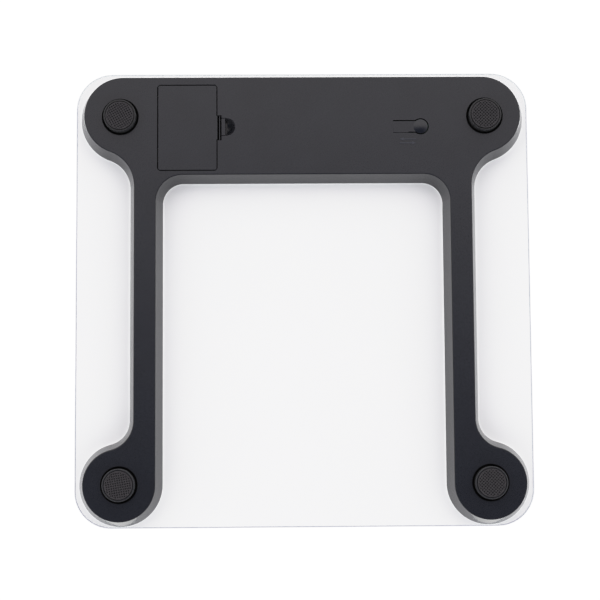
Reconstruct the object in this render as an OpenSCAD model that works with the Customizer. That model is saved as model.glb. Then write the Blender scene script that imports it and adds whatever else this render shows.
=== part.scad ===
// Digital bathroom scale: a square glass platform bonded to a one-piece U-shaped housing.
// The housing stands on four load-cell feet and carries the battery bay, the circuit board,
// the display and a flexing unit button.
// Frame: origin at the centre of the plan on the floor, +Z up, +Y towards the display end,
// +X to the right of a person who stands on the scale and reads the display.
// Lengths are in millimetres and angles in degrees.

/* [Platform] */
// Width and depth of the square glass
glass_w = 300; // [298:1:304]
// Thickness of the glass
glass_t = 5; // [4:0.5:6]
// Corner radius of the glass
glass_corner_r = 24; // [20:1:28]
// Chamfer ground on the edges of the glass
glass_chamfer = 0.6; // [0.3:0.1:0.8]
// Thickness of the white backing film
film_t = 0.2; // [0.1:0.1:0.4]
// Inset of the film from the edge of the glass
film_inset = 1; // [0.5:0.5:2]
// Thickness of the bonding tape between housing and film
tape_t = 0.8; // [0.6:0.1:1]

/* [Housing] */
// Height of the housing's lower face above the floor
face_z = 5.2; // [5:0.1:5.6]
// Height of the housing from its lower face to its rim
housing_h = 15; // [15:0.5:16]
// Thickness of the floor and walls
wall_t = 2.4; // [2.2:0.1:2.6]
// Outward lean of the walls for each millimetre of height
wall_lean = 0.25; // [0.22:0.01:0.26]
// Rounding where the lower face meets the walls
edge_r = 0.6; // [0.4:0.1:0.8]
// Distance from the centre to the inner side of each leg
leg_in = 96.2; // [96:0.1:96.6]
// Distance from the centre to the outer side of each leg
leg_out = 110.2; // [110:0.1:110.8]
// Inner edge of the cross bar
bar_in = 79.6; // [79:0.1:80]
// Outer edge of the cross bar
bar_out = 144; // [143.8:0.1:144.4]
// Radius of the two lobes at the display end
rear_lobe_r = 25.2; // [25:0.1:25.6]
// Distance from the centre to the rear lobe centres
rear_lobe_x = 117.6; // [117:0.1:118]
// Radius of the two lobes at the front end
front_lobe_r = 23.3; // [22.8:0.1:23.4]
// Distance from the centre to the front lobe centres along Y
front_lobe_y = 121.7; // [121:0.1:122]
// Radius of the hollow where a rear lobe runs into its leg
rear_neck_r = 24.2; // [23:0.1:25]
// Radius of the hollow where a front lobe runs into its leg
front_neck_r = 19.5; // [19:0.1:20]
// Radius of the inner corner between leg and cross bar
inner_corner_r = 17.6; // [16:0.1:19]

/* [Feet] */
// Distance from the centre to every foot along X
foot_x = 119.4; // [119.2:0.1:119.6]
// Distance from the centre to the rear feet along Y
foot_rear_y = 118; // [117.8:0.1:118.4]
// Distance from the centre to the front feet along Y
foot_front_y = 121.4; // [121.2:0.1:121.6]
// Radius of the clearance hole around a foot
foot_hole_r = 11.8; // [11.7:0.1:12]
// Radius of a foot
foot_r = 10.6; // [10.4:0.1:10.8]
// Radius of the rubber pad
pad_r = 9.2; // [9:0.1:9.3]
// Upward travel of a foot under full load
foot_travel = 0.4; // [0.2:0.1:0.4]

/* [Load cells] */
// Width of the square load-cell plate
cell_w = 32; // [31.6:0.2:32.2]
// Thickness of the load-cell plate
cell_t = 2.5; // [2:0.1:2.6]
// Height of the load-cell plate above the housing floor
cell_lift = 4.6; // [4.6:0.1:4.8]

/* [Battery bay] */
// Lower and upper limits of the battery door along X
door_x = [56.4, 94.6];
// Lower and upper limits of the battery door along Y
door_y = [82.7, 138.7];
// Thickness of the battery door
door_t = 1.8; // [1.6:0.1:1.9]
// Gap around the battery door
door_gap = 0.35; // [0.3:0.05:0.4]
// Radius of a battery cell
battery_r = 5.2; // [5.1:0.05:5.25]
// Length of a battery cell with its nub
battery_len = 44.5; // [44.2:0.1:44.6]
// Distance between the axes of neighbouring cells
battery_pitch = 11.2; // [10.8:0.1:11.4]

/* [Unit button] */
// Centre of the button head
button_head = [-77.3, 111];
// Radius of the button head
button_r = 4.7; // [4.5:0.1:4.8]
// Width of the tongue that carries the head
tongue_w = 7.1; // [7:0.1:7.4]
// Length from the root of the tongue to the head's centre
tongue_len = 17.7; // [17:0.1:18]
// Width of the slit around the tongue
slit_w = 0.65; // [0.5:0.05:0.7]

/* [Display] */
// Width and depth of the display window in the film
window = [72, 32];
// Distance from the centre to the middle of the display
display_y = 112; // [111:0.5:113]
// Width and depth of the display panel
lcd = [76, 36.4];

/* [Hidden] */

// The four corners, as signs along X and Y
rear_right = [1, 1];
rear_left = [-1, 1];
front_right = [1, -1];
front_left = [-1, -1];
corners = [rear_right, rear_left, front_right, front_left];

// A small overlap that lets solids join and cuts break through
eps = 0.1;
// Facet counts for round parts, for small round parts and for the large cuts
$fn = 64;
fn_small = 24;

// Heights of the layers
floor_z = face_z + wall_t;
rim_z = face_z + housing_h;
film_z = rim_z + tape_t;
glass_z = film_z + film_t;
cell_z = floor_z + cell_lift;
cell_top_z = cell_z + cell_t;

// Outline of the housing at its lower face
wall_angle = atan(wall_lean);
rear_lobe = [rear_lobe_x, bar_out - rear_lobe_r];
front_lobe = [leg_in + front_lobe_r, -front_lobe_y];
// Depth by which neighbouring surfaces cross where they would be tangent
crossing = 0.03;
rear_neck_x = leg_out + rear_neck_r - crossing;
rear_neck_dy = sqrt(pow(rear_lobe_r + rear_neck_r - crossing, 2) - pow(rear_neck_x - rear_lobe.x, 2));
rear_neck = [rear_neck_x, rear_lobe.y - rear_neck_dy];
front_neck_x = leg_out + front_neck_r - crossing;
front_neck_dy = sqrt(pow(front_lobe_r + front_neck_r - crossing, 2)
    - pow(front_neck_x - front_lobe.x, 2));
front_neck = [front_neck_x, front_lobe.y + front_neck_dy];
inner_corner = [leg_in - inner_corner_r + 2 * crossing, bar_in - inner_corner_r + crossing];

// Depth of the ground edge strips around the glass
strip_w = 6;

// Foot cap and captive flange
foot_rim_z = 0.35;
foot_rim_w = 1;
foot_round = 0.5;
pad_t = 1.6;
flange_r = foot_hole_r + 1.4;
flange_z = floor_z + 0.6;
flange_t = 1.4;
foot_boss_r = 5;
foot_boss_top = cell_z - foot_travel - 0.3;
foot_peg_r = 1.2;
peg_hole_r = 1.7;

// Load-cell plate, its slots and its retainer
cell_corner_r = 8;
cell_frame_w = 6;
cell_slot_w = 2;
neck_w = 8;
neck_len = 5;
post_r = 1.6;
post_offset = 12;
gauge = [7, 4.5, 2.3];
gauge_y = 6.75;
retainer_w = 31;
retainer_roof_t = 1.8;
retainer_wall = 4.8;
arm_x = [-20.4, -5.2];
arm_y = [12, 26];
arm_t = 2.4;
arm_screws = [[-17.4, 22.5], [-8.4, 22.5]];
screw_r = 1.25;
screw_head_r = 2.3;
screw_head_h = 1.6;
screw_len = 7.5;
screw_boss_r = 3;
notch_w = 3;
pad_tape_w = 20;

// Battery bay
bay_x = [57.4, 92.9];
bay_y = [84.4, 137];
bay_wall = 1.4;
bay_roof_t = 1.5;
bay_top = rim_z - bay_roof_t;
ledge_z = face_z + door_t + 0.3;
ledge_top = ledge_z + 1.8;
ledge_rim = 1.8;
door_corner_r = 1.5;
door_chamfer = 0.25;
hinge_gap = door_gap + 0.1;
battery_z = bay_top - battery_r - 0.3;
battery_mid_x = (bay_x[0] + bay_x[1]) / 2;
contact_w = 9;
contact_t = 0.3;
contact_bump_h = 1.2;
cradle_t = 1.5;
cradle_depth = 3;
hook_y = [93.2, 128.2];
hook_w = 8;
hook_slot_x = [bay_x[1] - eps, 98.4];

// Latch and finger scoop
latch_y = 111.1;
notch_y = [102.3, 118.75];
door_lip_x = 55.85;
lip_gap = 0.4;
latch_bar_x = [54.1, 54.75];
latch_bar_sink = 0.5;
latch_tab_x = [50.8, 53.2];
latch_tab_w = 11.2;
latch_h = 3.4;
latch_gap = 0.35;
tab_bridge_w = 1.5;
tab_bridge_sink = 1.7;
scoop_x = 50;
scoop_r = 5.9;
scoop_depth = 4.2;
scoop_sphere_r = (pow(scoop_r, 2) + pow(scoop_depth, 2)) / (2 * scoop_depth);
pocket_wall = 1.4;
pocket_x = [49.4, bay_x[0] + eps];
pocket_y = [101.9, 119.15];
pocket_top = 10.2;

// Unit button and switch
button_t = 1.8;
bead_r = button_t / 2;
bead_gap = 0.05;
tongue_root = button_head.x + tongue_len;
dome_h = 0.8;
tongue_step_x = button_head.x + 8;
tongue_step = 0.4;
button_post_r = 1.2;
button_post_top = floor_z;
switch_body = [6, 6, 3.4];
plunger_r = 1.7;
plunger_gap = 0.05;
plunger_len = 3;

// Circuit board
board_t = 1.6;
board_z = button_post_top + 0.6 + switch_body.z;
board_top = board_z + board_t;
board_x = [-50, 46.5];
board_y = [86, 137];
board_tail_x = -89;
board_tail_w = 19;
board_bosses = [[43.5, 90], [43.5, 133], [-46.5, 90], [-46.5, 133], [-86, 110.5]];
board_screw_r = 1;
board_screw_head_r = 2;
board_screw_len = 5;

// Display stack
holder_wall = 2.2;
lcd_t = 2.8;
lcd_z = rim_z - 0.2 - lcd_t;
backlight = [68, 28, 3.6];
backlight_y = 3;
zebra = [60, 2.2];
zebra_y = -15;

// Wires
wire_r = 0.8;
wire_bend = 2;
gauge_wire_z = cell_top_z + 1.2;
low_wire_z = 11.5;
high_wire_z = low_wire_z + 2 * wire_bend;
lead_r = 0.6;
lead_bend = 1.8;
lead_z = 16.2;
tab_t = 0.3;

// Outward offset of the housing's outer surface at height z
function lean(z) = wall_lean * (z - face_z);

// Rounded corner between the lower face and the leaning wall, as [offset, z] points
edge_tangent = edge_r / tan(45 + wall_angle / 2);
edge_arc = [for (i = [0:3])
    let (a = -90 + (90 - wall_angle) * i / 3)
    [-edge_tangent + edge_r * cos(a), face_z + edge_r + edge_r * sin(a)]];

// Sections of the housing's outer wall and of the hollow inside it
outer_section = concat(edge_arc, [[lean(rim_z), rim_z]]);
inner_section = [
    [lean(floor_z) - wall_t, floor_z],
    [lean(rim_z + 1) - wall_t, rim_z + 1]
];

// A section run straight from point a to point b, with its outside on the left
module run(a, b, section) {
    translate([a.x, a.y, 0])
        rotate([0, 0, atan2(b.y - a.y, b.x - a.x)])
            rotate([90, 0, 90])
                linear_extrude(norm(b - a)) polygon(section);
}

// A section turned about c: side is 1 where the outside faces away from c, and -1 where it
// faces c
module bend(c, r, a0, a1, side, section) {
    translate([c.x, c.y, 0])
        rotate([0, 0, a0])
            rotate_extrude(angle = a1 - a0)
                polygon([for (p = section) [r + side * p.x, p.y]]);
}

// A solid turned about c: its surface leans outwards with side 1 and inwards with side -1,
// and it runs past the section's ends by the given margin
module turned(c, r, section, side = 1, margin = 0) {
    low = section[0];
    high = section[len(section) - 1];
    translate([c.x, c.y, 0])
        rotate_extrude()
            polygon(concat(
                [[0, low.y - margin], [r + side * low.x, low.y - margin]],
                [for (p = section) [r + side * p.x, p.y]],
                [[r + side * high.x, high.y + margin], [0, high.y + margin]]
            ));
}

// A straight stretch along X with the section on its +Y side, and on its -Y side from back_y
// when mirrored is true
module stretch(length, front_y, back_y, section, mirrored) {
    low = section[0].y;
    high = section[len(section) - 1].y;
    reverse = [for (i = [len(section) - 1:-1:0]) section[i]];
    back = mirrored ? [for (p = reverse) [back_y - p.x, p.y]] : [[back_y, high], [back_y, low]];
    translate([-length / 2, 0, 0])
        rotate([90, 0, 90])
            linear_extrude(length)
                polygon(concat([for (p = section) [front_y + p.x, p.y]], back));
}

// Fills the hollow between two stretches: points bound it and a turned cut of radius r about
// c shapes it
module hollow_fill(points, c, r, section) {
    low = section[0].y;
    difference() {
        translate([0, 0, low])
            linear_extrude(section[len(section) - 1].y - low) polygon(points);
        turned(c, r, section, -1, 1);
    }
}

// The housing's plan made solid with the given outward-offset section.
// Neighbouring surfaces cross by a hair where they would be tangent.
module plan_solid(section) {
    leg_mid = (leg_in + leg_out) / 2;
    leg_len = rear_lobe.y - front_lobe.y;
    stretch(2 * leg_mid, bar_out - crossing, bar_in, section, true);
    stretch(2 * rear_lobe.x, bar_out - crossing, rear_lobe.y, section, false);
    for (side = [0, 1]) mirror([side, 0, 0]) {
        turned(rear_lobe, rear_lobe_r, section);
        turned(front_lobe, front_lobe_r, section);
        translate([0, (rear_lobe.y + front_lobe.y) / 2, 0])
            rotate([0, 0, -90])
                stretch(leg_len, leg_out, leg_in + crossing, section, true);
        hollow_fill(
            [rear_lobe, rear_neck, [leg_mid, rear_neck.y], [leg_mid, rear_lobe.y]],
            rear_neck, rear_neck_r, section);
        hollow_fill(
            [front_lobe, front_neck, [leg_mid, front_neck.y], [leg_mid, front_lobe.y]],
            front_neck, front_neck_r, section);
        hollow_fill(
            [inner_corner, [inner_corner.x, rear_lobe.y], [leg_mid, rear_lobe.y],
                [leg_mid, inner_corner.y]],
            inner_corner, inner_corner_r, section);
    }
}

// A box between limits [low, high] along each axis
module box(x, y, z) {
    translate([x[0], y[0], z[0]])
        cube([x[1] - x[0], y[1] - y[0], z[1] - z[0]]);
}

// A box whose four sides lean out by grow from its low face to its high face
module leaning_box(x, y, z, grow) {
    low = [[x[0], y[0]], [x[1], y[0]], [x[1], y[1]], [x[0], y[1]]];
    lean_out = [[-grow, -grow], [grow, -grow], [grow, grow], [-grow, grow]];
    polyhedron(
        [
            for (p = low) [p.x, p.y, z[0]],
            for (i = [0:3]) [low[i].x + lean_out[i].x, low[i].y + lean_out[i].y, z[1]]
        ],
        [[0, 1, 2, 3], [4, 5, 1, 0], [7, 6, 5, 4], [5, 6, 2, 1], [6, 7, 3, 2], [7, 4, 0, 3]]);
}

// A rectangle centred on the origin with round corners
module rounded_rect(size, r) {
    square([size.x - 2 * r, size.y], center = true);
    square([size.x, size.y - 2 * r], center = true);
    for (x = [-1, 1], y = [-1, 1])
        translate([x * (size.x / 2 - r), y * (size.y / 2 - r)]) circle(r);
}

// Carries a shape built about the front right foot's centre to any corner.
// There +Y runs along the leg towards the other end, and -X points inwards.
module at_corner(corner) {
    foot_y = corner.y > 0 ? foot_rear_y : foot_front_y;
    mirror([corner.x < 0 ? 1 : 0, 0, 0])
        mirror([0, corner.y > 0 ? 1 : 0, 0])
            translate([foot_x, -foot_y, 0]) children();
}

// Turn of the load cell's neck: along the leg at the front, inwards at the rear
function neck_turn(corner) = corner.y > 0 ? 90 : 0;

// A wire of radius r through right-angled points, with its corners bent to bend_r
module wire(points, r, bend_r) {
    last = len(points) - 1;
    for (i = [0:last - 1]) {
        d = (points[i + 1] - points[i]) / norm(points[i + 1] - points[i]);
        start = points[i] + (i == 0 ? 0 : bend_r) * d;
        stop = points[i + 1] - (i + 1 == last ? 0 : bend_r) * d;
        translate(start)
            rotate([0, acos(d.z), atan2(d.y, d.x)])
                cylinder(h = norm(stop - start), r = r, $fn = fn_small);
    }
    for (i = [1:last - 1]) {
        d1 = (points[i] - points[i - 1]) / norm(points[i] - points[i - 1]);
        d2 = (points[i + 1] - points[i]) / norm(points[i + 1] - points[i]);
        centre = points[i] + bend_r * (d2 - d1);
        up = cross(d1, d2);
        multmatrix([
            [-d2.x, d1.x, up.x, centre.x],
            [-d2.y, d1.y, up.y, centre.y],
            [-d2.z, d1.z, up.z, centre.z],
            [0, 0, 0, 1]
        ])
            rotate_extrude(angle = 90)
                translate([bend_r, 0]) circle(r, $fn = fn_small);
    }
}

// A pan-head screw with its head's underside at the origin and its shank along -Z
module screw(r, head_r, head_h, length) {
    difference() {
        union() {
            translate([0, 0, -length]) cylinder(h = length + eps, r = r, $fn = fn_small);
            cylinder(h = head_h * 0.6, r = head_r, $fn = 32);
            translate([0, 0, head_h * 0.6])
                cylinder(h = head_h * 0.4, r1 = head_r, r2 = head_r * 0.7, $fn = 32);
        }
        for (a = [0, 90])
            rotate([0, 0, a])
                translate([0, 0, head_h])
                    cube([head_r * 1.1, head_r * 0.28, head_h], center = true);
    }
}

// A tapered spring from radius r0 at the origin to r1 at the given height
module coil(r0, r1, height, turns, wire) {
    steps = 12;
    sides = 6;
    rings = turns * steps;
    points = [for (i = [0:rings], j = [0:sides - 1])
        let (
            t = i / rings,
            a = 360 * i / steps,
            b = 360 * j / sides,
            r = r0 + (r1 - r0) * t + wire * cos(b)
        )
        [r * cos(a), r * sin(a), wire + (height - 2 * wire) * t + wire * sin(b)]];
    sleeve = [for (i = [0:rings - 1], j = [0:sides - 1], k = [0, 1])
        let (p = i * sides, q = (j + 1) % sides)
        k == 0 ? [p + j, p + sides + j, p + sides + q] : [p + j, p + sides + q, p + q]];
    start_cap = [[for (j = [0:sides - 1]) j]];
    end_cap = [[for (j = [sides - 1:-1:0]) rings * sides + j]];
    polyhedron(points, concat(sleeve, start_cap, end_cap), convexity = 10);
}

// Square glass with round corners and ground edges
module glass_platform() {
    half = glass_w / 2;
    c = glass_chamfer;
    flat = half - glass_corner_r;
    section = [
        [-strip_w, glass_z], [-c, glass_z], [0, glass_z + c],
        [0, glass_z + glass_t - c], [-c, glass_z + glass_t], [-strip_w, glass_z + glass_t]
    ];
    color("aliceblue", 0.6) {
        for (turn = [0:90:270]) rotate([0, 0, turn]) {
            run([-flat, half], [flat, half], section);
            bend([flat, flat], glass_corner_r, 0, 90, 1, section);
        }
        translate([0, 0, glass_z])
            linear_extrude(glass_t)
                rounded_rect([glass_w - strip_w, glass_w - strip_w], glass_corner_r - strip_w / 2);
    }
}

// White backing on the underside of the glass, with the display window
module safety_film() {
    side = glass_w - 2 * film_inset;
    color("white")
        translate([0, 0, film_z])
            linear_extrude(film_t)
                difference() {
                    rounded_rect([side, side], glass_corner_r - film_inset);
                    translate([0, display_y]) rounded_rect(window, 3);
                }
}

// Tape along the rim and on each retainer
module bonding_tape() {
    color("whitesmoke") {
        difference() {
            plan_solid([[lean(rim_z), rim_z], [lean(rim_z), film_z]]);
            plan_solid([[lean(rim_z) - wall_t, rim_z - 1], [lean(rim_z) - wall_t, film_z + 1]]);
        }
        for (corner = corners) at_corner(corner)
            translate([0, 0, rim_z + tape_t / 2])
                cube([pad_tape_w, pad_tape_w, tape_t], center = true);
    }
}

// Floor, walls, ribs and every boss of the housing
module housing_solid() {
    difference() {
        plan_solid(outer_section);
        plan_solid(inner_section);
    }
    for (side = [-1, 1], y = [-75, -45, -15, 15, 45]) leg_rib(side, y);
    for (corner = corners) at_corner(corner) cell_supports();
    for (p = board_bosses)
        translate([p.x, p.y, floor_z - eps])
            cylinder(h = board_z - floor_z + eps, r = 2.8, $fn = 32);
    bay_shell();
    latch_shell();
    unit_symbol();
}

// Low rib across a leg
module leg_rib(side, y) {
    rib_t = 1.4;
    top = 10.4;
    bite = 0.4;
    translate([0, y + rib_t / 2, 0])
        rotate([90, 0, 0])
            linear_extrude(rib_t)
                polygon([
                    [side * (leg_in + wall_t - lean(floor_z) - bite), floor_z - bite],
                    [side * (leg_out - wall_t + lean(floor_z) + bite), floor_z - bite],
                    [side * (leg_out - wall_t + lean(top) + bite), top],
                    [side * (leg_in + wall_t - lean(top) - bite), top]
                ]);
}

// Posts under the load cell and bosses for the retainer's screws
module cell_supports() {
    for (x = [-1, 1], y = [-1, 1])
        translate([x * post_offset, y * post_offset, floor_z - eps])
            cylinder(h = cell_z - floor_z + eps, r = post_r, $fn = fn_small);
    for (p = arm_screws)
        translate([p.x, p.y, floor_z - eps])
            cylinder(h = cell_top_z - floor_z + eps, r = screw_boss_r, $fn = 32);
}

// Walls, ledge and roof of the battery bay
module bay_shell() {
    box([door_x[0] - ledge_rim, door_x[1] + ledge_rim],
        [door_y[0] - ledge_rim, door_y[1] + ledge_rim], [face_z + eps, ledge_top]);
    box([bay_x[0] - bay_wall, bay_x[1] + bay_wall],
        [bay_y[0] - bay_wall, bay_y[1] + bay_wall], [face_z + eps, rim_z]);
}

// Pocket over the latch and the bulge behind the finger scoop
module latch_shell() {
    box([pocket_x[0] - pocket_wall, bay_x[0]],
        [pocket_y[0] - pocket_wall, pocket_y[1] + pocket_wall],
        [face_z + eps, pocket_top + pocket_wall]);
    intersection() {
        translate([scoop_x, latch_y, face_z + scoop_depth - scoop_sphere_r])
            sphere(scoop_sphere_r + pocket_wall);
        box([scoop_x - 12, scoop_x], [latch_y - 10, latch_y + 10],
            [face_z + eps, floor_z + scoop_depth]);
    }
}

// Two opposed arrows beside the unit button, raised from the lower face
module unit_symbol() {
    raised = 0.25;
    centre = [-68.8, 101.3];
    for (turn = [0, 180])
        translate([centre.x, centre.y, face_z - raised])
            rotate([0, 0, turn])
                translate([0, 1.3, 0])
                    linear_extrude(raised + eps)
                        polygon([
                            [-5.5, -0.35], [2.6, -0.35], [2.6, -1.1], [5.5, 0],
                            [2.6, 1.1], [2.6, 0.35], [-5.5, 0.35]
                        ]);
}

// Door recess, bay, hook slots, cradle room and latch notch
module bay_cuts() {
    difference() {
        box(bay_x, bay_y, [face_z - eps, bay_top]);
        for (y = [0.25, 0.75]) battery_cradle(bay_y[0] + y * (bay_y[1] - bay_y[0]));
    }
    recess_x = [door_x[0] - door_gap, door_x[1] + hinge_gap];
    recess_y = [door_y[0] - door_gap, door_y[1] + door_gap];
    translate([(recess_x[0] + recess_x[1]) / 2, (recess_y[0] + recess_y[1]) / 2, face_z - eps])
        linear_extrude(ledge_z - face_z + eps)
            rounded_rect([recess_x[1] - recess_x[0], recess_y[1] - recess_y[0]],
                door_corner_r + door_gap, $fn = 32);
    mouth = door_chamfer + eps;
    leaning_box([recess_x[0] - mouth + door_corner_r, recess_x[1] + mouth - door_corner_r],
        [recess_y[0] - mouth, recess_y[1] + mouth], [face_z - eps, face_z + door_chamfer], -mouth);
    leaning_box([recess_x[0] - mouth, recess_x[1] + mouth],
        [recess_y[0] - mouth + door_corner_r, recess_y[1] + mouth - door_corner_r],
        [face_z - eps, face_z + door_chamfer], -mouth);
    for (y = hook_y) {
        slot_y = [y - hook_w / 2 - 0.5, y + hook_w / 2 + 0.5];
        box(hook_slot_x, slot_y, [floor_z, face_z + 5.2]);
        box([hook_slot_x[0], door_x[1] + hinge_gap], slot_y, [ledge_z - eps, floor_z + eps]);
    }
    for (y = [bay_y[0] - 2, bay_y[1] - 2])
        contact_slots(y);
}

// Slots in an end wall for the solder tabs
module contact_slots(y) {
    x = y < display_y ? tab_front_x : tab_rear_x;
    box([x - 2, x + 2], [y, y + 4], [lead_z - 0.6, lead_z + 0.6]);
}

// Rib under the roof, hollowed for the three cells
module battery_cradle(y) {
    difference() {
        box([bay_x[0] - eps, bay_x[1] + eps], [y - cradle_t / 2, y + cradle_t / 2],
            [bay_top - cradle_depth, bay_top + eps]);
        for (i = [0:2])
            translate([battery_x(i), y - cradle_t, battery_z])
                rotate([-90, 0, 0]) cylinder(h = 2 * cradle_t, r = battery_r);
    }
}

// Room for the latch, its slots and the finger scoop
module latch_cuts() {
    cut_z = [face_z - eps, floor_z + eps];
    box([latch_tab_x[1], door_x[0] + eps], notch_y, cut_z);
    box([door_x[0], bay_x[0] + eps], notch_y, [ledge_z - eps, floor_z + eps]);
    box([latch_tab_x[0] - latch_gap, latch_bar_x[0]],
        [latch_y - latch_tab_w / 2 - latch_gap, latch_y + latch_tab_w / 2 + latch_gap], cut_z);
    box(pocket_x, pocket_y, [floor_z, pocket_top]);
    intersection() {
        translate([scoop_x, latch_y, face_z + scoop_depth - scoop_sphere_r])
            sphere(scoop_sphere_r);
        box([scoop_x - 10, latch_tab_x[0]], [latch_y - 10, latch_y + 10],
            [face_z - 1, floor_z + scoop_depth]);
    }
}

// Slit round the unit button and the groove at its root
module button_cuts() {
    cut_z = [face_z - eps, floor_z + eps];
    slit_half = tongue_w / 2 + slit_w;
    translate([button_head.x, button_head.y, cut_z[0]])
        cylinder(h = cut_z[1] - cut_z[0], r = button_r + slit_w);
    box([button_head.x, tongue_root], [button_head.y - slit_half, button_head.y + slit_half], cut_z);
    translate([tongue_root, button_head.y - slit_half, face_z + bead_r])
        rotate([-90, 0, 0]) cylinder(h = 2 * slit_half, r = bead_r + bead_gap, $fn = 32);
}

// One-piece housing: cross bar, two legs and four lobes
module base_housing() {
    chamfer = 0.25;
    color("dimgray")
        difference() {
            housing_solid();
            for (corner = corners) at_corner(corner) {
                translate([0, 0, face_z - eps])
                    cylinder(h = wall_t + 2 * eps, r = foot_hole_r);
                translate([0, 0, face_z - eps])
                    cylinder(h = chamfer + eps, r1 = foot_hole_r + chamfer + eps, r2 = foot_hole_r);
                for (p = arm_screws)
                    translate([p.x, p.y, cell_top_z + arm_t - screw_len])
                        cylinder(h = screw_len, r = screw_r, $fn = fn_small);
            }
            for (p = board_bosses)
                translate([p.x, p.y, board_top - board_screw_len])
                    cylinder(h = board_screw_len, r = board_screw_r, $fn = fn_small);
            bay_cuts();
            latch_cuts();
            button_cuts();
        }
}

// Flat door with two hooks on its hinge edge and stiffening ribs inside
module battery_door() {
    size = [door_x[1] - door_x[0], door_y[1] - door_y[0]];
    mid = [(door_x[0] + door_x[1]) / 2, (door_y[0] + door_y[1]) / 2];
    top = face_z + door_t;
    tab_z = [floor_z + 0.3, floor_z + 1.5];
    color("dimgray") {
        intersection() {
            translate([mid.x, mid.y, face_z])
                linear_extrude(door_t) rounded_rect(size, door_corner_r, $fn = 32);
            leaning_box([door_x[0] + door_chamfer - eps, door_x[1] - door_chamfer + eps],
                [door_y[0] + door_chamfer - eps, door_y[1] - door_chamfer + eps],
                [face_z - eps, top + eps], door_t + 2 * eps);
        }
        box([door_lip_x, door_x[0] + 1], [notch_y[0] + lip_gap, notch_y[1] - lip_gap], [face_z, top]);
        for (y = hook_y) {
            box([door_x[1] - 1.2, door_x[1]], [y - hook_w / 2, y + hook_w / 2], [top - eps, tab_z[1]]);
            box([door_x[1] - 1.2, hook_slot_x[1] - 0.5], [y - hook_w / 2, y + hook_w / 2], tab_z);
        }
        for (x = [-8, 0, 8])
            box([mid.x + x - 0.6, mid.x + x + 0.6], [bay_y[0] + 4, bay_y[1] - 4],
                [top - eps, top + 0.5]);
    }
}

// Sprung loop in the door's edge: a press tab, two bridges and the bar behind them
module door_latch() {
    tab_y = [latch_y - latch_tab_w / 2, latch_y + latch_tab_w / 2];
    top = face_z + latch_h;
    color("dimgray") {
        box(latch_tab_x, tab_y, [face_z, top]);
        box(latch_bar_x, [notch_y[0] + latch_gap, notch_y[1] - latch_gap],
            [face_z + latch_bar_sink, top]);
        for (y = [tab_y[0], tab_y[1] - tab_bridge_w])
            box([latch_tab_x[1] - eps, latch_bar_x[0] + eps], [y, y + tab_bridge_w],
                [face_z + tab_bridge_sink, top]);
    }
}

// Tongue with a domed head, a root bead and a post for the switch.
// Its front side steps out towards the root.
module unit_button() {
    dome_r = (pow(button_r, 2) + pow(dome_h, 2)) / (2 * dome_h);
    tip_r = 2.5;
    color("dimgray") {
        translate([button_head.x, button_head.y, face_z])
            cylinder(h = button_t, r = button_r);
        intersection() {
            translate([button_head.x, button_head.y, face_z - dome_h + dome_r])
                sphere(dome_r, $fn = 128);
            translate([button_head.x, button_head.y, face_z - dome_h - eps])
                cylinder(h = dome_h + 2 * eps, r = button_r);
        }
        box([button_head.x, tongue_root],
            [button_head.y - tongue_w / 2, button_head.y + tongue_w / 2],
            [face_z, face_z + button_t]);
        box([tongue_step_x, tongue_root],
            [button_head.y - tongue_w / 2 - tongue_step, button_head.y],
            [face_z, face_z + button_t]);
        translate([tongue_root, button_head.y - tongue_w / 2, face_z + bead_r])
            rotate([-90, 0, 0]) cylinder(h = tongue_w, r = bead_r, $fn = 32);
        intersection() {
            translate([button_head.x, button_head.y, face_z + button_t - eps])
                cylinder(h = 2, r = button_post_r, $fn = fn_small);
            translate([button_head.x, button_head.y, button_post_top - tip_r])
                sphere(tip_r, $fn = 48);
        }
    }
}

// Foot: disc, captive flange, cored middle and the boss with its locating peg
module foot_cap(corner) {
    core_r = foot_r - 1.4;
    color("dimgray")
        at_corner(corner)
            rotate_extrude()
                polygon([
                    [0, pad_t],
                    [foot_r - foot_rim_w, pad_t],
                    [foot_r - foot_rim_w, foot_rim_z],
                    [foot_r - foot_round, foot_rim_z],
                    [foot_r - foot_round * 0.3, foot_rim_z + foot_round * 0.3],
                    [foot_r, foot_rim_z + foot_round],
                    [foot_r, flange_z],
                    [flange_r, flange_z],
                    [flange_r, flange_z + flange_t],
                    [core_r, flange_z + flange_t],
                    [core_r, pad_t + 1.6],
                    [foot_boss_r, pad_t + 1.6],
                    [foot_boss_r, foot_boss_top],
                    [foot_peg_r, foot_boss_top],
                    [foot_peg_r, cell_z + cell_t * 0.6],
                    [0, cell_z + cell_t * 0.6]
                ]);
}

// Rubber pad in the foot's recess
module foot_pad(corner) {
    color("rosybrown")
        at_corner(corner) cylinder(h = pad_t, r = pad_r);
}

// Steel plate with a central tongue, held at its frame and loaded through the tongue
module load_cell(corner) {
    inner = cell_w / 2 - cell_frame_w;
    tongue = inner - cell_slot_w;
    color("silver")
        at_corner(corner) rotate([0, 0, neck_turn(corner)])
            translate([0, 0, cell_z])
                linear_extrude(cell_t)
                    difference() {
                        rounded_rect([cell_w, cell_w], cell_corner_r);
                        for (side = [-1, 1]) {
                            translate([side * (inner + tongue) / 2, 0])
                                square([cell_slot_w, 2 * inner], center = true);
                            translate([side * (inner + neck_w / 2) / 2, inner - neck_len / 2])
                                square([inner - neck_w / 2, neck_len], center = true);
                        }
                        translate([0, -(inner + tongue) / 2])
                            square([2 * inner, cell_slot_w], center = true);
                        circle(peg_hole_r, $fn = fn_small);
                    }
}

// Coated strain gauges on the necks of the four load cells
module strain_gauges() {
    color("ivory")
        for (corner = corners) at_corner(corner) rotate([0, 0, neck_turn(corner)])
            translate([0, gauge_y, cell_top_z + gauge.z / 2])
                cube(gauge, center = true);
}

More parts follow.
